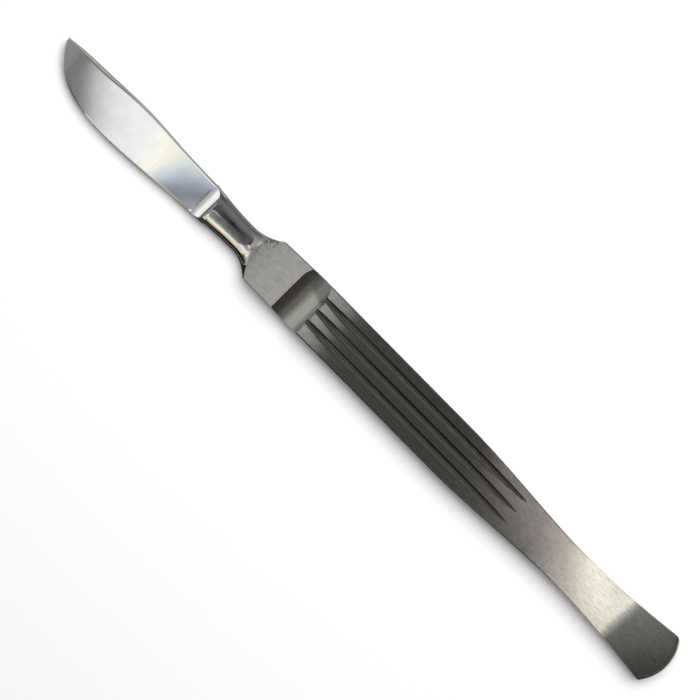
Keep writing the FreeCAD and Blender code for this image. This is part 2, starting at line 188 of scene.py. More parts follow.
def handle_side(side, shoulder_corner, butt_corner):
    """One side of the handle, from the shoulder to the bowed end."""
    bow_height = BUTT_HALF - butt_corner
    bow_x = BUTT - BOW_RADIUS + math.sqrt(BOW_RADIUS ** 2 - bow_height ** 2)
    taper, flare = WAIST - GRIP_END, BUTT - WAIST
    parts = [
        (((SHOULDER, SHOULDER_HALF - shoulder_corner), (SHOULDER, SHOULDER_HALF),
          (SHOULDER + shoulder_corner, SHOULDER_HALF)), 10),
        (((SCOOP_LOW, HANDLE_HALF), (GRIP_END, HANDLE_HALF)), 1),
        (((GRIP_END, HANDLE_HALF), (GRIP_END + taper * TAPER_EASE, HANDLE_HALF),
          (WAIST - taper * TAPER_EASE, WAIST_HALF), (WAIST, WAIST_HALF)), 60),
        (((WAIST, WAIST_HALF), (WAIST + flare * WAIST_EASE, WAIST_HALF),
          (CORNER - flare * FLARE_EASE, BUTT_HALF - BUTT_SLOPE * flare * FLARE_EASE),
          (CORNER - butt_corner, BUTT_HALF - BUTT_SLOPE * butt_corner)), 60),
        (((CORNER - butt_corner, BUTT_HALF - BUTT_SLOPE * butt_corner), (CORNER, BUTT_HALF),
          (bow_x, bow_height)), 12),
    ]
    points = []
    for poles, steps in parts:
        for point in flowing(poles, steps):
            if not points or (point - points[-1]).length > 0.001:
                points.append(point)
    return [Vector((p.x, side * p.y, 0)) for p in points]


def handle_bar(mesh):
    """The whole bar at its full thickness; its spine side has the rounder corners."""
    spine_side = handle_side(1, 1.6, 0.9)
    edge_side = handle_side(-1, 0.3, 0.4)
    top, low = spine_side[-1], edge_side[-1]
    centre = BUTT - BOW_RADIUS
    first, last = math.atan2(top.y, top.x - centre), math.atan2(low.y, low.x - centre)
    bow = [Vector((centre + BOW_RADIUS * math.cos(a), BOW_RADIUS * math.sin(a), 0))
           for a in (first + (last - first) * step / 40 for step in range(1, 40))]
    prism(spine_side + bow + edge_side[::-1], -FACE, FACE, False)(mesh)
    rims = [e for e in mesh.edges if all(abs(abs(v.co.z) - FACE) < 1e-4 for v in e.verts)
            and e.verts[0].co.z * e.verts[1].co.z > 0
            and max(v.co.x for v in e.verts) > SHOULDER + 0.01]
    bmesh.ops.bevel(mesh, geom=rims, offset=LONG_EDGE, affect="EDGES", segments=4, profile=0.5, material=-1)


def thinning(mesh):
    """Steel ground off the butt: a long shallow rise, then the flatter facet at the very end."""
    line = flowing(((84.0, 1.6), (92.0, 1.595), (99.0, 1.46), (104.8, 1.385)), 60)
    line += flowing(((104.8, 1.385), (106.0, 1.37), (107.2, 1.328)), 12)[1:]
    outline = [(p.x, p.y) for p in line]
    outline += [(BUTT + BEYOND, 0.831), (BUTT + BEYOND, WELL_ABOVE), (84.0, WELL_ABOVE)]
    prism(outline, -WELL_ASIDE, WELL_ASIDE, True)(mesh)


def nose(mesh):
    """The rounding of the butt's end, spun about the centre of its bow."""
    line = flowing(((BUTT - 0.8, 1.01), (BUTT - 0.27, 0.95), (BUTT, 0.63), (BUTT + 0.01, 0.11)), 16)
    outline = [(p.x, p.y) for p in line]
    outline += [(BUTT + BEYOND, 0.11), (BUTT + BEYOND, WELL_ABOVE), (BUTT - 0.8, WELL_ABOVE)]
    centre = Vector((BUTT - BOW_RADIUS, 0, 0))
    corners = [mesh.verts.new((x, 0, z)) for x, z in outline]
    face = mesh.faces.new(corners)
    reach = math.radians(50)
    bmesh.ops.rotate(mesh, verts=corners, cent=centre, matrix=Matrix.Rotation(-reach, 3, "Z"))
    bmesh.ops.spin(mesh, geom=[face], cent=centre, axis=(0, 0, 1), angle=2 * reach, steps=80,
                   use_duplicate=False)


# Blade: both faces ground from the spine to the edge, with a honed bevel and a softened spine.
# Half its thickness at the spine line and at the edge line, and its hollow, at three places along it

GROUND = (((-42.6, 0.2), (-20.8, 0.47), (1.0, 0.7)), ((-42.6, 0.06), (-20.8, 0.07), (1.0, 0.01)))
HOLLOW = ((-31.0, 0.0023), (-14.8, 0.0014), (-3.0, -0.0014))
HONED_SLOPE, EDGE_HALF = 0.45, 0.01
TIP_FACET_START, TIP_FACET_FALL = -37.5, 0.01
COVE_START, COVE_RADIUS = -2.95, 3.6


def through(samples, x):
    """The parabola through three samples."""
    total = 0.0
    for number, (place, value) in enumerate(samples):
        weight = value
        for other, (elsewhere, _) in enumerate(samples):
            if other != number:
                weight *= (x - elsewhere) / (place - elsewhere)
        total += weight
    return total


def ground_height(x, y):
    """Half the blade's thickness: nearly straight from spine to edge, ground hollow towards the tip."""
    spine_line, edge_line = through(GROUND[0], x), through(GROUND[1], x)
    hollow = through(HOLLOW, x) * (y * y - 16)
    tip_facet = TIP_FACET_FALL * max(0, TIP_FACET_START - x)
    return edge_line + (spine_line - edge_line) * (y + 4.8) / 8.8 + hollow - tip_facet


def blade(mesh):
    """The upper face as a grid from tip to heel, then its mirror below, bridged round the rim."""
    columns = 150
    spine, belly = evenly(flowing(SPINE, 600), columns), evenly(flowing(BELLY, 600), columns)
    face_rows = (0.0, 0.0, 0.06, 0.13, 0.21, 0.3, 0.4, 0.5, 0.6, 0.7, 0.79, 0.87, 0.94, 1.0)
    spine_rows = (1.0, 0.62, 0.36, 0.17, 0.05, 0.0)
    last = len(face_rows) - 1
    count = last + len(spine_rows) - 1
    grid = bmesh.ops.create_grid(mesh, x_segments=columns, y_segments=count, size=0.5)["verts"]
    for vertex in grid:
        column = round((vertex.co.x + 0.5) * columns)
        row = round((vertex.co.y + 0.5) * count)
        low, high = belly[column], spine[column]
        across = (high - low).normalized()
        along = (belly[min(column + 1, columns)] - belly[max(column - 1, 0)]).normalized()
        inward = Vector((-along.y, along.x, 0))
        edge = ground_height(low.x, low.y)
        bevel = max(0.02, (edge - EDGE_HALF) / HONED_SLOPE)
        # The softened band is widest a third of the way from the tip, as the grinder rolled off it
        band = 0.14 + 0.5 * math.exp(-((high.x + 33) / 5.5) ** 2)
        inner_low = low + inward * bevel
        inner_high = high - across * band
        if row == 0:
            point, height = low, EDGE_HALF
        elif row <= last:
            point = inner_low.lerp(inner_high, face_rows[row])
            height = ground_height(point.x, point.y)
        else:
            share = spine_rows[row - last]
            point = high - across * band * share
            full = ground_height(point.x, point.y)
            drop = min(0.5 * full, 0.1 + 0.16 * band)
            height = full - drop + drop * math.sqrt(max(0, 1 - (1 - share) ** 2))
        vertex.co = (point.x, point.y, height)
    top = mesh.faces[:]
    below = bmesh.ops.duplicate(mesh, geom=mesh.verts[:] + mesh.edges[:] + top)["geom"]
    low_verts = [g for g in below if isinstance(g, bmesh.types.BMVert)]
    bmesh.ops.scale(mesh, verts=low_verts, vec=(1, 1, -1))
    bmesh.ops.reverse_faces(mesh, faces=[g for g in below if isinstance(g, bmesh.types.BMFace)])
    bmesh.ops.bridge_loops(mesh, edges=[e for e in mesh.edges if e.is_boundary])


# Neck: an oval that narrows from the heel and flares out and up into the handle

def neck(mesh):
    """Loops from the heel to the shoulder, cut level where they rise past the handle's faces."""
    rings, count = [], 60
    slimmest = 7.47
    for number in range(count + 1):
        x = COVE_START + (SHOULDER + 0.02 - COVE_START) * number / count
        before = min(0, x - slimmest) / slimmest
        after = max(0, x - slimmest) / (SHOULDER - slimmest)
        risen = max(0, x - SHOULDER + 4.12) / 4.12
        width = 5.8 + 0.75 * before ** 2 + 3.92 * after ** 2
        height = 3.0 + 4.7 * risen ** 4
        rings.append(ring(mesh, x, width / 2, height / 2, 0.4 * after ** 2))
    skin(mesh, rings)
    for side in (1, -1):
        bmesh.ops.recalc_face_normals(mesh, faces=mesh.faces)
        everything = mesh.verts[:] + mesh.edges[:] + mesh.faces[:]
        cut = bmesh.ops.bisect_plane(mesh, geom=everything, dist=1e-6, plane_co=(0, 0, side * FACE),
                                     plane_no=(0, 0, side), clear_outer=True)
        rim = [g for g in cut["geom_cut"] if isinstance(g, bmesh.types.BMEdge)]
        bmesh.ops.contextual_create(mesh, geom=rim)


def collar(mesh):
    skin(mesh, [ring(mesh, place, 3.25, 1.58, 0.22) for place in (COVE_START, -0.7, 0.1)])


def cove(mesh):
    """The grinding wheel's round corner, tilted like the ground face that it ends."""
    tilt = (ground_height(COVE_START, 3) - ground_height(COVE_START, -3)) / 6
    floor = ground_height(COVE_START, 0) + 0.001
    wheel = bmesh.ops.create_cone(mesh, cap_ends=True, segments=256, radius1=COVE_RADIUS,
                                  radius2=COVE_RADIUS, depth=22)["verts"]
    bmesh.ops.rotate(mesh, verts=wheel, cent=(0, 0, 0), matrix=Matrix.Rotation(math.pi / 2, 3, "X"))
    bmesh.ops.rotate(mesh, verts=wheel, cent=(0, 0, 0), matrix=Matrix.Rotation(math.atan(tilt), 3, "X"))
    bmesh.ops.translate(mesh, verts=wheel, vec=(COVE_START, 0, floor + COVE_RADIUS))


def mark_honed_line(data):
    """Keeps the line crisp where the honed bevel meets the ground face."""
    mesh = bmesh.new()
    mesh.from_mesh(data)
    heel, spine_side = (TO_ROW @ Vector((COVE_START - 0.3, 2.9, 0))).xy
    for edge in mesh.edges:
        middle = (edge.verts[0].co + edge.verts[1].co) / 2
        if middle.x < heel and middle.y < spine_side and edge.calc_face_angle(0) > math.radians(8):
            edge.smooth = False
    mesh.to_mesh(data)
    mesh.free()


# Scoop for the thumb and the three flutes of the grip, on both faces

def scoop(mesh):
    """Two arcs that meet at the lowest line, with a facet that rises on the spine side."""
    depth = 0.75
    low = FACE - depth
    outline = []
    for end, steps in ((PAD_END, 20), (GRIP_START, 40)):
        reach = abs(end - SCOOP_LOW)
        radius = (reach ** 2 + depth ** 2) / (2 * depth)
        sweep = math.asin(reach / radius)
        side = 1 if end > SCOOP_LOW else -1
        points = [(SCOOP_LOW + side * radius * math.sin(sweep * n / steps),
                   low + radius * (1 - math.cos(sweep * n / steps))) for n in range(steps + 1)]
        outline += points[::-1] if side < 0 else points[1:]
    outline += [(GRIP_START, WELL_ABOVE), (PAD_END, WELL_ABOVE)]
    prism(outline, -WELL_ASIDE, WELL_ASIDE, True)(mesh)
    for place in range(21, 60, 2):
        everything = mesh.verts[:] + mesh.edges[:] + mesh.faces[:]
        bmesh.ops.bisect_plane(mesh, geom=everything, dist=1e-6, plane_co=(0, place / 10, 0),
                               plane_no=(0, 1, 0))
    for vertex in mesh.verts:
        if vertex.co.z < 2.5:
            past = vertex.co.y - 3.6 + (vertex.co.x - PAD_END) * 0.3
            vertex.co.z += 0.15 * (past + math.sqrt(past * past + 0.15)) / 2


FLUTE_MIDDLES, FLUTE_HALF, FLUTE_DEPTH = (2.65, 0.0, -2.65), 0.875, 0.38


def flute(middle):
    """A maker of one flute: a steep wall on its spine side and a shallow one that fades into the grip."""
    def make(mesh):
        mouth, bottom = FACE - 0.16, FACE - FLUTE_DEPTH
        level_start, level_end, end = GRIP_START + 5, GRIP_START + 38.7, GRIP_START + 52.7
        path = flowing(((GRIP_START - 1, mouth), (level_start - 2.5, bottom), (level_start, bottom)), 24)
        path += [Vector((level_end, bottom, 0))]
        run_out = ((level_end, bottom), (level_end + 7, bottom), (end, FACE), (end + 5, FACE + FLUTE_DEPTH))
        path += flowing(run_out, 60)[1:]
        right, left = middle + FLUTE_HALF, middle - FLUTE_HALF
        lowest = right - 0.5
        rim = mouth + 0.44
        wall = flowing(((right, rim), (right - 0.28, mouth), (lowest, mouth)), 12)
        shallow = ((lowest, mouth), (lowest - 0.5, mouth), (left + 0.55, rim - 0.08), (left, rim - 0.05))
        wall += flowing(shallow, 18)[1:]
        outline = [(p.x, p.y) for p in wall] + [(left, WELL_ABOVE), (right, WELL_ABOVE)]
        corners = [mesh.verts.new((path[0].x, y, z)) for y, z in outline]
        face = mesh.faces.new(corners)
        for start, finish in zip(path, path[1:]):
            pushed = bmesh.ops.extrude_face_region(mesh, geom=[face])["geom"]
            if start is not path[0]:
                bmesh.ops.delete(mesh, geom=[face], context="FACES_ONLY")
            face = next(g for g in pushed if isinstance(g, bmesh.types.BMFace))
            moved = [g for g in pushed if isinstance(g, bmesh.types.BMVert)]
            bmesh.ops.translate(mesh, verts=moved, vec=(finish.x - start.x, 0, finish.y - start.y))
    return make


def cut_both(base, name, maker, material):
    """Cut the body out of both faces of the knife."""
    upper = solid(name, maker, material)
    combine(base, [mirrored(upper), upper], "DIFFERENCE")


# Finishes of the steel

def new_group(name, inputs, outputs):
    """A node group with named number inputs and outputs."""
    tree = bpy.data.node_groups.new(name, "ShaderNodeTree")
    for label, value in inputs.items():
        socket = tree.interface.new_socket(label, in_out="INPUT", socket_type="NodeSocketFloat")
        socket.default_value = value
    for label in outputs:
        tree.interface.new_socket(label, in_out="OUTPUT", socket_type="NodeSocketFloat")
    return tree, tree.nodes.new("NodeGroupInput"), tree.nodes.new("NodeGroupOutput")


class Bench:
    """Lays out the nodes of one tree; every call gives the socket that carries its result."""

    def __init__(self, tree):
        self.tree, self.nodes, self.links = tree, tree.nodes, tree.links

    def put(self, node, slot, value):
        if isinstance(value, bpy.types.NodeSocket):
            self.links.new(value, node.inputs[slot])
        else:
            node.inputs[slot].default_value = value

    def math(self, operation, *values, clamp=False):
        node = self.nodes.new("ShaderNodeMath")
        node.operation, node.use_clamp = operation, clamp
        for slot, value in enumerate(values):
            self.put(node, slot, value)
        return node.outputs[0]

    def between(self, value, low, high, new_low=0.0, new_high=1.0, smooth=True):
        """Maps low..high to the new range, held at its ends."""
        node = self.nodes.new("ShaderNodeMapRange")
        node.interpolation_type = "SMOOTHSTEP" if smooth else "LINEAR"
        for slot, amount in enumerate((value, low, high, new_low, new_high)):
            self.put(node, slot, amount)
        return node.outputs[0]

    def within(self, value, low, full_low, full_high, high):
        """1 between the two middle values, fading to 0 at the outer ones."""
        rise, fall = self.between(value, low, full_low), self.between(value, full_high, high, 1.0, 0.0)
        return self.math("MULTIPLY", rise, fall)

    def ramp(self, value, stops):
        """A colour that follows a value through stops of (value, colour or grey)."""
        low, high = stops[0][0], stops[-1][0]
        share = self.between(value, low, high, smooth=False)
        node = self.nodes.new("ShaderNodeValToRGB")
        elements = node.color_ramp.elements
        while len(elements) < len(stops):
            elements.new(0.5)
        for element, (place, colour) in zip(elements, stops):
            element.position = (place - low) / (high - low)
            grey = colour if isinstance(colour, tuple) else (colour,) * 3
            element.color = (*grey, 1)
        self.links.new(share, node.inputs[0])
        return node.outputs[0]

    def mix(self, share, first, second, kind="MIX"):
        node = self.nodes.new("ShaderNodeMix")
        node.data_type, node.blend_type = "RGBA", kind
        for slot, value in ((0, share), (6, first), (7, second)):
            if isinstance(value, tuple):
                value = (*value, 1)
            self.put(node, slot, value)
        return node.outputs[2]

    def use(self, group, **values):
        node = self.nodes.new("ShaderNodeGroup")
        node.node_tree = group
        for label, value in values.items():
            self.put(node, label.replace("_", " "), value)
        return node.outputs

    def place(self):
        """X, Y and Z on the object, in metres."""
        coordinates = self.nodes.new("ShaderNodeTexCoord").outputs["Object"]
        parts = self.nodes.new("ShaderNodeSeparateXYZ")
        self.links.new(coordinates, parts.inputs[0])
        return parts.outputs

    def vector(self, x, y, z):
        node = self.nodes.new("ShaderNodeCombineXYZ")
        for slot, value in enumerate((x, y, z)):
            self.put(node, slot, value)
        return node.outputs[0]

    def noise(self, vector, scale, detail, rough=0.5):
        node = self.nodes.new("ShaderNodeTexNoise")
        self.put(node, "Vector", vector)
        self.put(node, "Scale", scale)
        node.inputs["Detail"].default_value = detail
        node.inputs["Roughness"].default_value = rough
        return node.outputs["Fac"]


def brush_group():
    """Fine lines left by a belt or a stone: long one way, a hair wide the other."""
    inputs = {"Turn": 0.0, "Length": 0.003, "Width": 0.00012, "Seed": 0.0}
    tree, given, result = new_group("brush lines", inputs, ("Lines", "Streaks"))
    bench = Bench(tree)
    x, y, z = bench.place()
    cosine, sine = bench.math("COSINE", given.outputs["Turn"]), bench.math("SINE", given.outputs["Turn"])
    along = bench.math("ADD", bench.math("MULTIPLY", x, cosine), bench.math("MULTIPLY", y, sine))
    across = bench.math("SUBTRACT", bench.math("MULTIPLY", y, cosine), bench.math("MULTIPLY", x, sine))
    across = bench.math("ADD", across, z)
    for label, larger, detail in (("Lines", 1.0, 2.0), ("Streaks", 4.0, 3.0)):
        run = bench.math("DIVIDE", along, bench.math("MULTIPLY", given.outputs["Length"], larger))
        pitch = bench.math("DIVIDE", across, bench.math("MULTIPLY", given.outputs["Width"], larger))
        spread = bench.noise(bench.vector(run, pitch, given.outputs["Seed"]), 1.0, detail, 0.6)
        bench.links.new(bench.between(spread, 0.25, 0.75, smooth=False), result.inputs[label])
    return tree


def mottle_group():
    """Soft uneven patches, such as a cloth or a hand leaves on steel."""
    tree, given, result = new_group("soft patches", {"Size": 0.004, "Seed": 0.0}, ("Patches",))
    bench = Bench(tree)
    x, y, z = bench.place()
    scaled = [bench.math("DIVIDE", part, given.outputs["Size"]) for part in (x, y)]
    spots = bench.noise(bench.vector(*scaled, given.outputs["Seed"]), 1.0, 3.0)
    bench.links.new(bench.between(spots, 0.3, 0.7), result.inputs["Patches"])
    return tree


BRUSH, PATCHES = brush_group(), mottle_group()


def knife_x(millimetres):
    """Place along the knife, in the row's frame."""
    return (TO_ROW @ Vector((millimetres, 0, 0))).x


def start_steel(name):
    """A metal material, the bench for its nodes, and its shader."""
    material = bpy.data.materials.new(name)
    material.use_nodes = True
    bench = Bench(material.node_tree)
    shader = bench.nodes["Principled BSDF"]
    shader.inputs["Metallic"].default_value = 1.0
    return material, bench, shader


def finish_steel(bench, shader, colour, roughness, height, depth):
    """Wire up the shader; depth is how deep the lines are cut, in metres."""
    bench.put(shader, "Base Color", colour)
    bench.put(shader, "Roughness", roughness)
    bump = bench.nodes.new("ShaderNodeBump")
    bump.inputs["Strength"].default_value = 1.0
    bump.inputs["Distance"].default_value = depth
    bench.put(bump, "Height", height)
    bench.put(shader, "Normal", bump.outputs[0])


def toned(bench, colour, lines, low, high):
    """A colour darkened and lightened by a 0 to 1 mask."""
    return bench.mix(1.0, colour, bench.between(lines, 0.0, 1.0, low, high, smooth=False), "MULTIPLY")


def make_blade_steel():
    material, bench, shader = start_steel("ground_blade")
    lines = bench.use(BRUSH, Turn=math.radians(86), Length=0.0035, Width=0.00011, Seed=1.0)
    fine = bench.use(BRUSH, Turn=math.radians(72), Length=0.0012, Width=0.00009, Seed=4.0)
    patches = bench.use(PATCHES, Size=0.003, Seed=2.0)["Patches"]
    colour = toned(bench, (0.97, 0.97, 0.96), lines["Lines"], 0.92, 1.04)
    colour = toned(bench, colour, patches, 0.97, 1.03)
    roughness = bench.between(lines["Streaks"], 0.0, 1.0, 0.045, 0.06, smooth=False)
    height = bench.math("ADD", lines["Lines"], bench.math("MULTIPLY", fine["Lines"], 0.5))
    finish_steel(bench, shader, colour, roughness, height, 0.0000001)
    return material


def make_neck_steel():
    material, bench, shader = start_steel("polished_neck")
    lines = bench.use(BRUSH, Turn=0.0, Length=0.006, Width=0.0003, Seed=7.0)
    patches = bench.use(PATCHES, Size=0.002, Seed=3.0)["Patches"]
    colour = toned(bench, (0.8, 0.79, 0.76), patches, 0.94, 1.04)
    roughness = bench.between(patches, 0.0, 1.0, 0.03, 0.06, smooth=False)
    finish_steel(bench, shader, colour, roughness, lines["Lines"], 0.0000002)
    return material


def make_handle_steel():
    """Brushed along its length, and rubbed bright and smooth along the grip."""
    material, bench, shader = start_steel("brushed_handle")
    x, y, z = bench.place()
    lines = bench.use(BRUSH, Turn=math.radians(-3), Length=0.002, Width=0.00013, Seed=11.0)
    patches = bench.use(PATCHES, Size=0.0016, Seed=5.0)["Patches"]
    wander = bench.math("MULTIPLY", bench.math("SUBTRACT", lines["Streaks"], 0.5), 0.0016)
    place = bench.math("ADD", x, wander)
    rubbed = bench.between(place, knife_x(30.4), knife_x(32.2))
    rubbed = bench.math("MULTIPLY", rubbed, bench.between(place, knife_x(66.0), knife_x(71.0), 1.0, 0.0))
    brushed = bench.math("SUBTRACT", 1.0, rubbed)
    colour = toned(bench, (0.97, 0.95, 0.87), lines["Lines"], 0.7, 1.26)
    colour = toned(bench, colour, patches, 0.94, 1.05)
    roughness = bench.between(brushed, 0.0, 1.0, 0.05, 0.07, smooth=False)
    height = bench.math("MULTIPLY", lines["Lines"], bench.between(brushed, 0.0, 1.0, 0.3, 1.0))
    finish_steel(bench, shader, colour, roughness, height, 0.00000025)
    return material


# Painted shade and a painted bright band along the scoop, from the pad to the grip, standing in for the
# light and dark that its steel mirrors
SCOOP_PAINTED_SHADES = ((20.0, (0.44, 0.41, 0.35)), (21.5, (0.48, 0.46, 0.41)), (22.4, (0.5, 0.49, 0.45)),
               (23.2, (0.68, 0.68, 0.63)), (24.2, (0.95, 0.95, 0.88)), (25.4, (0.93, 0.93, 0.85)),
               (25.9, (0.6, 0.6, 0.55)), (26.6, (0.42, 0.42, 0.38)), (26.8, (0.4, 0.4, 0.37)))


def make_scoop_steel():
    """Ground crosswise; its colour holds painted shade: dark near the pad, a painted bright band in the
    middle, dark again at the grip, and darker on its facet.
    """
    material, bench, shader = start_steel("ground_scoop")
    lines = bench.use(BRUSH, Turn=math.radians(90), Length=0.003, Width=0.00022, Seed=21.0)
    x, y, z = bench.place()
    painted_shade = bench.ramp(x, [(knife_x(place), colour) for place, colour in SCOOP_PAINTED_SHADES])
    # The facet that rises on the spine side is painted darker: painted shade, not a duller finish
    past = bench.math("ADD", y, bench.math("MULTIPLY", bench.math("SUBTRACT", x, knife_x(PAD_END)), 0.3))
    facet_shade = bench.between(past, 0.0028, 0.0041)
    facet_shade = bench.math("MULTIPLY", facet_shade, bench.between(x, knife_x(22.0), knife_x(23.6)))
    painted_shade = bench.mix(1.0, painted_shade, bench.between(facet_shade, 0.0, 1.0, 1.0, 0.34, smooth=False), "MULTIPLY")
    colour = toned(bench, painted_shade, lines["Lines"], 0.82, 1.1)
    roughness = bench.between(lines["Streaks"], 0.0, 1.0, 0.28, 0.34)
    finish_steel(bench, shader, colour, roughness, lines["Lines"], 0.000001)
    return material


def make_flute_steel():
    material, bench, shader = start_steel("milled_flute_painted_shade")
    lines = bench.use(BRUSH, Turn=0.0, Length=0.004, Width=0.00012, Seed=31.0)
    # The flute's colour is darkened to paint the shade in the grooves
    colour = toned(bench, (0.34, 0.33, 0.31), lines["Lines"], 0.8, 1.15)
    roughness = bench.between(lines["Streaks"], 0.0, 1.0, 0.12, 0.18)
    finish_steel(bench, shader, colour, roughness, lines["Lines"], 0.0000004)
    return material


blade_steel, neck_steel, handle_steel = make_blade_steel(), make_neck_steel(), make_handle_steel()
scoop_steel, flute_steel = make_scoop_steel(), make_flute_steel()

steel = solid("scalpel_steel", handle_bar, handle_steel)
cut_both(steel, "thinning", thinning, handle_steel)
cut_both(steel, "nose", nose, handle_steel)
blade_body, collar_body = solid("blade", blade, blade_steel), solid("collar", collar, neck_steel)
neck_body = solid("neck", neck, neck_steel)
neck_body.data.materials.append(handle_steel)
for face in neck_body.data.polygons:
    if abs(face.center.z) > FACE - 0.001:
        face.material_index = 1
combine(steel, [blade_body, neck_body, collar_body], "UNION")
cut_both(steel, "cove", cove, blade_steel)
cut_both(steel, "scoop", scoop, scoop_steel)
for middle in FLUTE_MIDDLES:
    cutter = solid("flute", flute(middle), flute_steel)
    cutter.data.materials.append(handle_steel)
    # The steep wall and the bottom keep the flute's darkened colour, which is painted shade; the shallow
    # wall takes the handle's steel
    for face in cutter.data.polygons:
        if face.normal.y < -0.02:
            face.material_index = 1
    combine(steel, [mirrored(cutter), cutter], "DIFFERENCE")
steel.data.transform(TO_ROW)
for face in steel.data.polygons:
    face.use_smooth = True
steel.data.set_sharp_from_angle(angle=math.radians(24))
mark_honed_line(steel.data)
steel.data.name = "scalpel_steel"
even = steel.modifiers.new("even_shading", "WEIGHTED_NORMAL")
even.keep_sharp = True
even.weight = 50
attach(steel, "root")
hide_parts("scalpel")


# Camera straight above, the knife lying across the frame from the upper left to the lower right

TURN = math.radians(45.3528)
VIEW_CENTRE = (-0.00253, -0.00046)
VIEW_HEIGHT, VIEW_WIDTH, SENSOR = 0.36, 0.1291, 36
camera_data = bpy.data.cameras.new("camera")
camera_data.sensor_width = SENSOR
camera_data.lens = SENSOR * (VIEW_HEIGHT - 1.15 * FACE * MM) / VIEW_WIDTH
camera_data.clip_start = 0.01
camera = bpy.data.objects.new("camera", camera_data)
camera.location = (*VIEW_CENTRE, VIEW_HEIGHT)
camera.rotation_euler = (0, 0, TURN)
bpy.context.scene.collection.objects.link(camera)
bpy.context.scene.camera = camera
bpy.context.scene.view_settings.view_transform = "Standard"


# White paper that keeps the shadow, and the soft light of a white studio

def light_path_choice(nodes, links):
    """1 for rays that look at a thing straight, in a reflection or through glass, else 0."""
    path = nodes.new("ShaderNodeLightPath")
    first = nodes.new("ShaderNodeMath")
    first.operation = "MAXIMUM"
    links.new(path.outputs["Is Camera Ray"], first.inputs[0])
    links.new(path.outputs["Is Glossy Ray"], first.inputs[1])
    second = nodes.new("ShaderNodeMath")
    second.operation = "MAXIMUM"
    links.new(first.outputs[0], second.inputs[0])
    links.new(path.outputs["Is Transmission Ray"], second.inputs[1])
    return second.outputs[0]


def paper_material():
    """White paper with a faint glow where it is looked at; it keeps the shadow."""
    material = bpy.data.materials.new("white_paper")
    material.use_nodes = True
    nodes, links = material.node_tree.nodes, material.node_tree.links
    nodes.clear()
    out = nodes.new("ShaderNodeOutputMaterial")
    diffuse = nodes.new("ShaderNodeBsdfDiffuse")
    diffuse.inputs["Color"].default_value = (0.9, 0.9, 0.89, 1)
    glow, scale = nodes.new("ShaderNodeEmission"), nodes.new("ShaderNodeMath")
    scale.operation = "MULTIPLY"
    scale.inputs[1].default_value = 0.1
    links.new(light_path_choice(nodes, links), scale.inputs[0])
    links.new(scale.outputs[0], glow.inputs["Strength"])
    both = nodes.new("ShaderNodeAddShader")
    links.new(diffuse.outputs[0], both.inputs[0])
    links.new(glow.outputs[0], both.inputs[1])
    links.new(both.outputs[0], out.inputs["Surface"])
    return material


paper = solid("paper", lambda mesh: bmesh.ops.create_grid(mesh, x_segments=1, y_segments=1, size=1.5))
paper.data.transform(Matrix.Translation((0, 0, -0.00001)))
paper.data.materials.append(paper_material())

world = bpy.data.worlds.new("studio")
bpy.context.scene.world = world
world.use_nodes = True
bench = Bench(world.node_tree)
direction = bench.nodes.new("ShaderNodeSeparateXYZ")
bench.links.new(bench.nodes.new("ShaderNodeTexCoord").outputs["Generated"], direction.inputs[0])
sky_x, sky_y, sky_z = direction.outputs
height = bench.math("MAXIMUM", sky_z, 0.02)
along, across = bench.math("DIVIDE", sky_x, height), bench.math("DIVIDE", sky_y, height)

# What a level face of the knife mirrors from tip to butt: grey ceiling, the dark camera, bright cloth.
# The edges of the cloth lie slantwise, so a place is moved by how far aside it is
slant_end = bench.between(along, 0.12, 0.15, 0.0, 0.5)
slant = bench.math("SUBTRACT", bench.between(along, 0.085, 0.1, 0.0, 2.0), slant_end)
slant = bench.math("SUBTRACT", slant, bench.between(along, 0.2205, 0.2225, 0.0, 2.4))
aside = bench.math("MINIMUM", bench.math("SUBTRACT", across, 0.0013), 0.014)
slanting = bench.math("ADD", along, bench.math("MULTIPLY", aside, slant))
OVERHEAD_END = 0.32
overhead = bench.ramp(slanting, (
    (-0.2, 0.3), (-0.12, 0.3), (-0.09, 0.37), (-0.03, 0.36), (-0.024, 0.32), (-0.0165, 0.24),
    (-0.0112, 0.055), (-0.003, 0.05), (0.006, 0.05), (0.08, 0.046), (0.1, (0.085, 0.08, 0.075)),
    (0.11, (0.118, 0.11, 0.1)), (0.1185, (0.16, 0.15, 0.14)), (0.127, (0.23, 0.21, 0.21)),
    (0.142, (0.26, 0.24, 0.25)), (0.156, (0.31, 0.28, 0.29)), (0.167, (0.41, 0.38, 0.38)),
    (0.18, (0.47, 0.43, 0.42)), (0.192, (0.64, 0.6, 0.56)), (0.2, (0.84, 0.8, 0.74)),
    (0.206, (1.25, 1.22, 1.1)), (0.2205, (1.25, 1.23, 1.1)), (0.225, 0.66), (0.24, 0.4), (0.255, 0.24),
    (0.268, 0.145), (0.279, 0.125), (0.288, 0.105), (0.296, 0.07), (0.302, 0.03), (OVERHEAD_END, 0.02)))
beyond_butt = bench.ramp(along, ((OVERHEAD_END, 0.04), (0.4, 0.07), (0.6, 0.07), (1.3, (0.09, 0.08, 0.06)),
                                 (2.2, 0.05), (5.0, 0.05)))
overhead = bench.mix(bench.math("GREATER_THAN", slanting, OVERHEAD_END), overhead, beyond_butt)

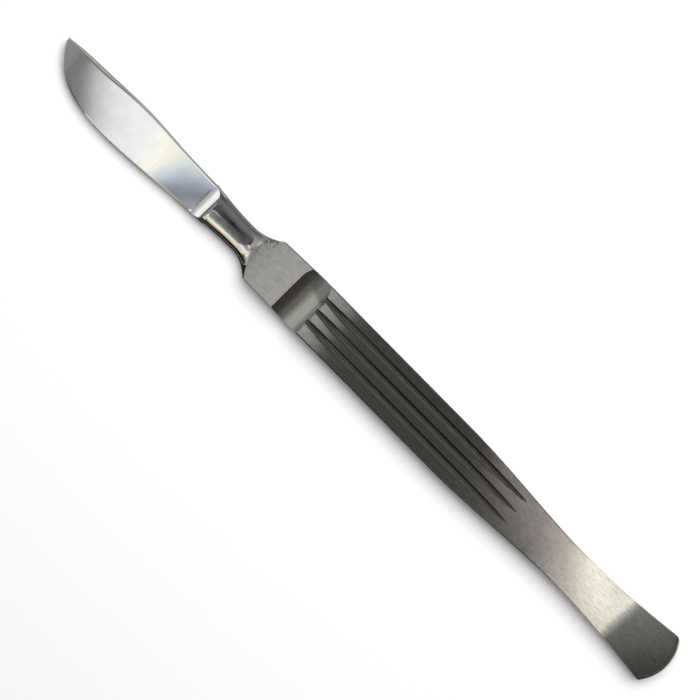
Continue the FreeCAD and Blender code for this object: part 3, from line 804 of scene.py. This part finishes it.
# What its sides mirror: dim walls, and over the neck a bright strip, warm wood and a dark beam
dim_wall = bench.ramp(across, (
    (-6.0, 0.02), (-1.3, 0.01), (-0.6, 0.03), (-0.2, 0.1), (0.2, 0.045), (0.6, 0.045),
    (1.0, 0.065), (1.5, 0.08), (2.5, 0.12), (6.0, 0.2)))
nearer = bench.between(along, -0.106, -0.098, 0.25, 0.0)
nearer = bench.math("ADD", nearer, bench.between(along, -0.45, -0.25, 0.6, 0.0))
nearer = bench.math("MULTIPLY", nearer, bench.math("LESS_THAN", across, -0.25))
neck_walls = bench.ramp(bench.math("SUBTRACT", across, nearer), (
    (-6.0, 0.006), (-2.7, 0.006), (-2.1, (0.16, 0.1, 0.04)), (-1.55, (0.45, 0.34, 0.19)),
    (-1.15, (0.85, 0.72, 0.48)), (-1.02, 1.0), (-0.7, 1.0), (-0.54, 0.36), (-0.41, 0.22), (-0.18, 0.125),
    (-0.02, 0.075), (0.1, 0.09), (0.2, 0.1), (0.41, 0.125), (0.6, 0.165), (0.83, 0.19), (1.04, 0.17),
    (1.6, 0.15), (6.0, 0.14)))
beam = bench.math("MULTIPLY", bench.within(across, 0.03, 0.1, 0.24, 0.36),
                  bench.within(along, -0.0948, -0.0925, -0.0835, -0.0812))
neck_walls = bench.mix(beam, neck_walls, (0.008, 0.008, 0.007))
by_neck = bench.between(along, -0.0735, -0.0695, 1.0, 0.0)
walls = bench.mix(by_neck, dim_wall, neck_walls)
wall_foot = bench.between(by_neck, 0.0, 1.0, 0.2, -0.03)
wall_top = bench.between(by_neck, 0.0, 1.0, 0.36, -0.01)
sky = bench.mix(bench.between(bench.math("ABSOLUTE", across), wall_foot, wall_top), overhead, walls)

# A pale strip low down for the honed edge, and a warm wall for the softened spine
low_strip = bench.math("MULTIPLY", bench.within(across, -1.5, -1.35, -0.7, -0.55),
                       bench.within(along, -0.45, -0.41, -0.112, -0.106))
sky = bench.mix(low_strip, sky, (0.75, 0.75, 0.75))
warm_wall = bench.ramp(across, ((0.0, (0.44, 0.42, 0.39)), (0.5, (0.36, 0.33, 0.3)), (1.2, 0.2), (3.0, 0.1)))
by_spine = bench.math("MULTIPLY", bench.between(along, -0.135, -0.125, 1.0, 0.0),
                      bench.between(across, -0.02, 0.0))
sky = bench.mix(by_spine, sky, warm_wall)

# Past the tip: cloth that is bright on the cutting edge's side, for the flare of the neck
beyond_tip = bench.ramp(sky_x, ((-0.9, 0.45), (-0.75, 0.5), (-0.6, 0.65), (-0.5, 1.0), (-0.3, 0.9)))
by_tip = bench.ramp(sky_y, (
    (-0.8, 0.02), (-0.68, 0.05), (-0.58, 0.4), (-0.5, 1.0), (-0.38, 1.0), (-0.15, 0.34),
    (0.03, 0.25), (0.17, 0.28), (0.3, 0.55), (0.5, 0.6), (0.62, 0.32), (0.8, 0.27)))
beyond_tip = bench.mix(1.0, beyond_tip, by_tip, "MULTIPLY")
sky = bench.mix(bench.between(sky_x, -0.42, -0.28, 1.0, 0.0), sky, beyond_tip)

# What the ground blade mirrors, from its tip to its heel, and then its cove
blade_run = bench.math("ADD", bench.math("MULTIPLY", bench.math("ADD", along, 0.218), 0.634),
                       bench.math("MULTIPLY", bench.math("ADD", across, 0.04), -0.773))
blade_sky = bench.ramp(blade_run, (
    (-0.03, 0.26), (-0.012, 0.25), (-0.006, 0.175), (0.0105, 0.17), (0.0145, 0.2), (0.018, 0.29),
    (0.0215, 0.41), (0.0255, 0.53), (0.0315, 0.62), (0.038, 0.73), (0.046, (0.82, 0.83, 0.84)),
    (0.06, (0.88, 0.89, 0.9)), (0.08, (0.9, 0.92, 0.93)), (0.086, (0.98, 0.99, 0.95)),
    (0.09, (1.06, 1.04, 0.9)), (0.0965, (1.06, 1.03, 0.84)), (0.1, (0.92, 0.93, 0.82)),
    (0.104, (0.72, 0.78, 0.8)), (0.109, (0.64, 0.71, 0.8)), (0.115, (0.45, 0.5, 0.57)),
    (0.1215, (0.33, 0.37, 0.43)), (0.129, (0.25, 0.28, 0.33)), (0.138, (0.2, 0.225, 0.26)),
    (0.15, (0.28, 0.31, 0.33)), (0.17, (0.36, 0.39, 0.42)), (0.2, (0.4, 0.42, 0.44))))
blade_zone = bench.math("MULTIPLY", bench.within(along, -0.34, -0.28, -0.1, -0.096),
                        bench.within(across, -0.3, -0.22, -0.03, -0.02))
sky = bench.mix(blade_zone, sky, blade_sky)
cove_sky = bench.ramp(along, (
    (-1.6, 0.9), (-0.95, 1.0), (-0.72, 0.85), (-0.5, 0.58), (-0.3, 0.44), (-0.15, 0.36)))
cove_zone = bench.math("MULTIPLY", bench.within(across, -0.3, -0.26, -0.134, -0.126),
                       bench.between(along, -0.152, -0.144, 1.0, 0.0))
sky = bench.mix(cove_zone, sky, cove_sky)

looked_at = light_path_choice(bench.nodes, bench.links)
glossy = next(n for n in bench.nodes if n.bl_idname == "ShaderNodeLightPath").outputs["Is Glossy Ray"]
pale = bench.mix(looked_at, (0.24, 0.24, 0.25), (1.0, 1.0, 1.0))
shown = bench.mix(glossy, pale, sky)
bench.put(bench.nodes["Background"], "Color", shown)

SHEET_LENGTH, SHEET_LIFT = 0.24, 0.00005


def cloth(name, near, far, grey):
    """A strip beside the knife that shows only in the steel's reflections."""
    material = bpy.data.materials.new(name)
    material.use_nodes = True
    nodes = material.node_tree.nodes
    nodes.clear()
    out, matt = nodes.new("ShaderNodeOutputMaterial"), nodes.new("ShaderNodeBsdfDiffuse")
    matt.inputs["Color"].default_value = (grey, grey, grey, 1)
    material.node_tree.links.new(matt.outputs[0], out.inputs["Surface"])
    strip = solid(name, lambda mesh: bmesh.ops.create_grid(mesh, x_segments=1, y_segments=1, size=0.5))
    strip.data.materials.append(material)
    strip.data.transform(Matrix.Diagonal((SHEET_LENGTH, far - near, 1, 1)))
    strip.data.transform(Matrix.Translation((0, (near + far) / 2, SHEET_LIFT)))
    strip.visible_camera = strip.visible_diffuse = strip.visible_shadow = False


# The dark strip on the cutting edge's side is painted shade: in the steel it stands in for the shadowed
# paper beside the knife
cloth("painted_shade_sheet", -0.06, 0.0, 0.02)
cloth("grey_sheet", 0.0, 0.06, 0.15)

# A wide window high on the spine side, so that the shadow fades from the knife's edge on
lamp_data = bpy.data.lights.new("window", "AREA")
lamp_data.shape = "RECTANGLE"
lamp_data.size, lamp_data.size_y = 0.7, 0.52
lamp_data.energy = 4.1
lamp = bpy.data.objects.new("window", lamp_data)
lamp.location = (-0.02, 0.283, 0.471)
lamp.rotation_euler = (Vector((0, 0, 0)) - lamp.location).to_track_quat("-Z", "Y").to_euler()
lamp.visible_glossy = False
bpy.context.scene.collection.objects.link(lamp)
